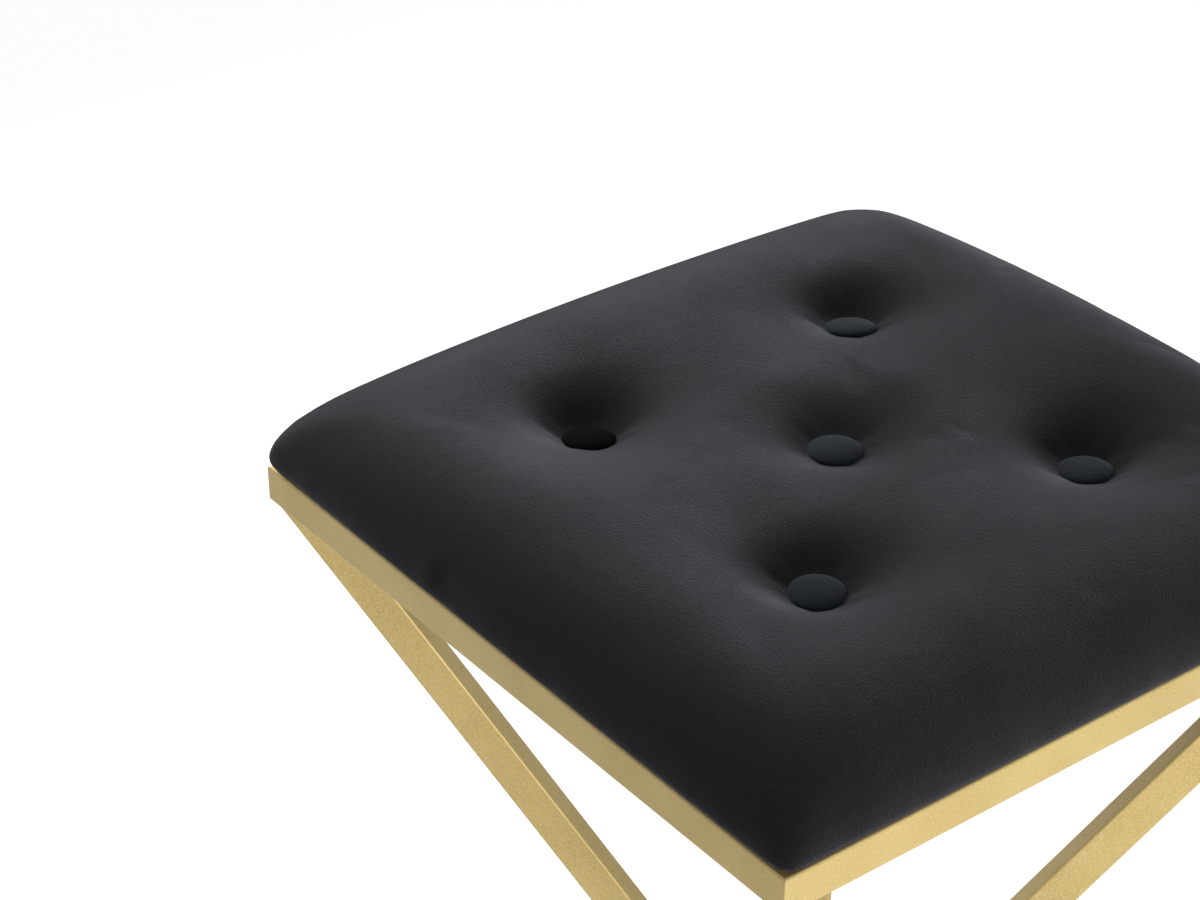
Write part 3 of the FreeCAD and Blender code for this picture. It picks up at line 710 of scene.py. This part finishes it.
PLY_RADIUS = 0.00033
PLY_SIDES = 7
TWIST_STEP = 0.42
TIE_SAMPLE = 0.0004
TIE_BEND = 0.9
TIE_BEND_STEPS = 6
waxed_twine = grained_finish(
    "waxed_twine", grain=(2400, 3.0), tones=((0.30, 0.25, 0.17), (0.46, 0.40, 0.29)),
    roughness=(0.45, 0.65), bump=(0.3, 0.0002), Specular_IOR_Level=0.5,
)
pressed_fibre = grained_finish(
    "pressed_fibre", grain=(700, 4.0, 0.7), tones=((0.10, 0.055, 0.03), (0.17, 0.10, 0.055)),
    roughness=(0.6, 0.8), bump=(0.25, 0.0003),
)
coat_nodes(["tuft_anchors"], pressed_fibre)
tie_low, tie_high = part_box("tuft_twine")
TIE_HALF = tie_high.x - TUFT_PITCH - PLY_RADIUS * 2
tie_foot = tie_low.z + PLY_RADIUS * 2
path, path_edges = [], []
for east, north, seat, *_ in TUFTS.values():
    tie_top = RAIL_TOP + seat + BUTTON_LIFT - EYE_DROP - EYE_RADIUS + EYE_WIRE + PLY_RADIUS * 2
    first = len(path)
    loop = ((-TIE_HALF, tie_foot), (TIE_HALF, tie_foot), (TIE_HALF, tie_top), (-TIE_HALF, tie_top))
    for step, (x, z) in enumerate(loop):
        path.append((east * TUFT_PITCH + x, north * TUFT_PITCH, z))
        path_edges.append((first + step, first + (step + 1) % len(loop)))
ties = mesh_object("button_ties", path, [], path_edges)
ply = Layout("two_ply_twine", Ply=PLY_RADIUS, Twist=TWIST_STEP, Sample=TIE_SAMPLE, Bend=TIE_HALF * TIE_BEND)
even = ply.node("GeometryNodeResampleCurve", {"mode": "LENGTH"}, {
    "Curve": ply.bent_path(TIE_BEND_STEPS, ply.size("Bend")), "Length": ply.size("Sample"),
})
twisted = ply.node("GeometryNodeSetCurveTilt", {}, {
    "Curve": even, "Tilt": ply.node("GeometryNodeInputIndex", {}, {}) * ply.size("Twist"),
})
strand = ply.circle(PLY_SIDES, ply.size("Ply"))
pair = ply.join(ply.move(strand, x=ply.size("Ply")), ply.move(strand, x=ply.size("Ply") * -1))
ply.run(ply.sweep(twisted, pair, False), ties, waxed_twine)
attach(ties, "frame")
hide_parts("tuft_twine")

# Dust cover: black non-woven cloth stretched under the seat and stapled to the board through
# the cover's hem. It hangs a little in the middle and puckers between the staples.

dust_low, dust_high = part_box("dust_cover")
DUST_SIDE = dust_high.x - dust_low.x
DUST_THICK = 0.0005
DUST_SAG = 0.0016
DUST_PUCKER = 0.0005
PUCKER_REACH = 0.012
DUST_CELLS = 96
STAPLE_SPACING = 0.0285
STAPLE_INSET = 0.006
STAPLE_CROWN = 0.0095
STAPLE_WIRE = 0.0004
STAPLE_LEG = 0.004
STAPLE_BITE = 0.4
STAPLE_SIDES = 8
STAPLE_BEND_STEPS = 4
line = (np.arange(DUST_CELLS + 1) / DUST_CELLS - 0.5) * DUST_SIDE
x, y = np.meshgrid(line, line, indexing="ij")
u, v = x / DUST_SIDE * 2, y / DUST_SIDE * 2
edge = np.minimum(DUST_SIDE / 2 - abs(x), DUST_SIDE / 2 - abs(y))
along = np.where(abs(x) > abs(y), y, x)
pucker = DUST_PUCKER * (0.5 - 0.5 * np.cos(math.tau * along / STAPLE_SPACING)) * np.exp(-edge / PUCKER_REACH)
z = dust_low.z + DUST_THICK - DUST_SAG * (1 - u ** 2) * (1 - v ** 2) - pucker
cloth_points = np.stack([x, y, z], -1).reshape(-1, 3)
cloth_faces = []
for across in range(DUST_CELLS):
    for along in range(DUST_CELLS):
        here = across * (DUST_CELLS + 1) + along
        cloth_faces.append((here, here + DUST_CELLS + 1, here + DUST_CELLS + 2, here + 1))
under_cloth = mesh_object("under_cloth", cloth_points, cloth_faces)
thick = under_cloth.modifiers.new("thick", "SOLIDIFY")
thick.thickness = DUST_THICK
thick.offset = -1
settle(under_cloth)
spun = Finish("spun_cloth", Specular_IOR_Level=0.2, Sheen_Weight=0.2, Sheen_Roughness=0.6)
bond = spun.node("ShaderNodeTexVoronoi", {"feature": "F1"},
                 {"Vector": spun.place, "Scale": 620.0, "Randomness": 0.25})
web = spun.noise(240, 5.0, 0.65)
spun_cloth = spun.surface(
    Base_Color=spun.mix(spun.between(web, 0.35, 0.65), (0.010, 0.010, 0.011), (0.024, 0.024, 0.026)),
    Roughness=spun.between(web, *SPREAD, 0.80, 0.95),
    Normal=spun.bump(bond, 0.4, 0.0004),
)
coat(under_cloth.data, spun_cloth)
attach(under_cloth, "frame")
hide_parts("dust_cover")

half_crown = STAPLE_CROWN / 2
staple_path = [(-half_crown, 0, STAPLE_LEG), (-half_crown, 0, 0), (half_crown, 0, 0),
               (half_crown, 0, STAPLE_LEG)]
staples = mesh_object("dust_cover_staples", staple_path, [], [(0, 1), (1, 2), (2, 3)])
row = Layout("staple_row", Side=DUST_SIDE - 2 * STAPLE_INSET, Spacing=STAPLE_SPACING, Wire=STAPLE_WIRE,
             Height=dust_low.z - STAPLE_WIRE * STAPLE_BITE)
bent = row.bent_path(STAPLE_BEND_STEPS, row.size("Wire") * 2)
staple = row.sweep(bent, row.circle(STAPLE_SIDES, row.size("Wire")), True)
square = row.node("GeometryNodeCurvePrimitiveQuadrilateral", {"mode": "RECTANGLE"},
                  {"Width": row.size("Side"), "Height": row.size("Side")})
spots = row.node("GeometryNodeCurveToPoints", {"mode": "LENGTH"},
                 {"Curve": square, "Length": row.size("Spacing")}, "Points")
way = row.node("FunctionNodeAlignRotationToVector", {"axis": "X", "pivot_axis": "Z"},
               {"Vector": spots.other("Tangent")})
set_row = row.node("GeometryNodeInstanceOnPoints", {}, {
    "Points": spots, "Instance": staple, "Rotation": way,
})
row.run(row.move(set_row, z=row.size("Height")), staples, zinc_plate)
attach(staples, "frame")

# Studio: a plain pale floor, a soft sky of light and two large lamps, with the camera at the
# photograph's place and angle.

FLOOR_HALF = 9
FLOOR_LIT = (0.62, 0.62, 0.62)
FLOOR_SEEN = (0.80, 0.80, 0.80)
# The floor's own light, as it is seen, rises with the distance from the stool.
GLOW_SPAN = (0.5, 1.4)
GLOW_LEVELS = (0.38, 0.66)
SKY_SEEN = 0.97
SKY_SPAN = (-0.1, 0.9)
SKY_LEVELS = (0.13, 0.44)


def seen_rays(wiring):
    """1 for rays from the camera, and from gloss or glass, which show the same background."""
    seen = wiring.node("ShaderNodeLightPath", {}, {}, "Is Camera Ray")
    return seen + seen.other("Is Glossy Ray") + seen.other("Is Transmission Ray")


floor_corners = [(x * FLOOR_HALF, y * FLOOR_HALF, 0) for x, y in ((-1, -1), (1, -1), (1, 1), (-1, 1))]
floor = mesh_object("floor", floor_corners, [(0, 1, 2, 3)])
pale = Finish("pale_floor", Roughness=0.9, Specular_IOR_Level=0.1, Emission_Strength=1.0)
seen = seen_rays(pale)
far = pale.node("ShaderNodeVectorMath", {"operation": "LENGTH"}, {0: pale.place}, "Value")
glow = seen * pale.between(far, *GLOW_SPAN, *GLOW_LEVELS)
pale_floor = pale.surface(
    Base_Color=pale.mix(seen, FLOOR_LIT, FLOOR_SEEN),
    Emission_Color=pale.mix(glow, (0, 0, 0), (1, 1, 1)),
)
# From below the floor is clear, so that the stool's underside can be looked at.
one_sided = pale.node("ShaderNodeMixShader", {}, {
    0: pale.node("ShaderNodeNewGeometry", {}, {}, "Backfacing"),
    1: Shade(pale, pale.shader.outputs[0]),
    2: pale.node("ShaderNodeBsdfTransparent", {}, {}),
})
pale.feed(pale.tree.nodes["Material Output"], {"Surface": one_sided})
coat(floor.data, pale_floor)

world = bpy.data.worlds.new("studio")
world.use_nodes = True
bpy.context.scene.world = world
sky = Wiring(world.node_tree)
seen = seen_rays(sky)
way_up = sky.node("ShaderNodeTexCoord", {}, {}, "Generated")
high = sky.node("ShaderNodeSeparateXYZ", {}, {0: way_up}, "Z")
sky.feed(world.node_tree.nodes["Background"], {
    "Color": (1, 1, 1, 1),
    "Strength": seen * SKY_SEEN + (1 - seen) * sky.between(high, *SKY_SPAN, *SKY_LEVELS),
})


def lamp(name, place, aim, side, power):
    """A large soft square lamp at a place, turned to a point."""
    light = bpy.data.lights.new(name, "AREA")
    light.shape = "RECTANGLE"
    light.size = light.size_y = side
    light.energy = power
    made = bpy.data.objects.new(name, light)
    made.location = place
    made.rotation_mode = "QUATERNION"
    made.rotation_quaternion = (Vector(aim) - Vector(place)).to_track_quat("-Z", "Y")
    bpy.context.scene.collection.objects.link(made)


SEAT = (0, 0, 0.76)
lamp("key", place=(-1.25, -0.1, 1.5), aim=SEAT, side=1.1, power=19)
lamp("side", place=(2.3, -0.5, 0.6), aim=SEAT, side=1.2, power=48)

# The camera was worked out from the square seat frame and the buttons' pattern.
LENS_PIXELS = 2880.1
PICTURE_PIXELS = 1200
SENSOR = 36
CAMERA_PLACE = (0.8748, -0.8072, RAIL_TOP + 0.7654)
CAMERA_PITCH = 0.55358
CAMERA_TURN = 0.92117
camera = bpy.data.cameras.new("camera")
camera.sensor_fit = "HORIZONTAL"
camera.sensor_width = SENSOR
camera.lens = SENSOR * LENS_PIXELS / PICTURE_PIXELS
camera_object = bpy.data.objects.new("camera", camera)
camera_object.location = CAMERA_PLACE
level = math.cos(CAMERA_PITCH)
back = Vector((math.sin(CAMERA_TURN) * level, -math.cos(CAMERA_TURN) * level, math.sin(CAMERA_PITCH)))
camera_object.rotation_mode = "QUATERNION"
camera_object.rotation_quaternion = (-back).to_track_quat("-Z", "Y")
bpy.context.scene.collection.objects.link(camera_object)
bpy.context.scene.camera = camera_object
bpy.context.scene.view_settings.view_transform = "Standard"
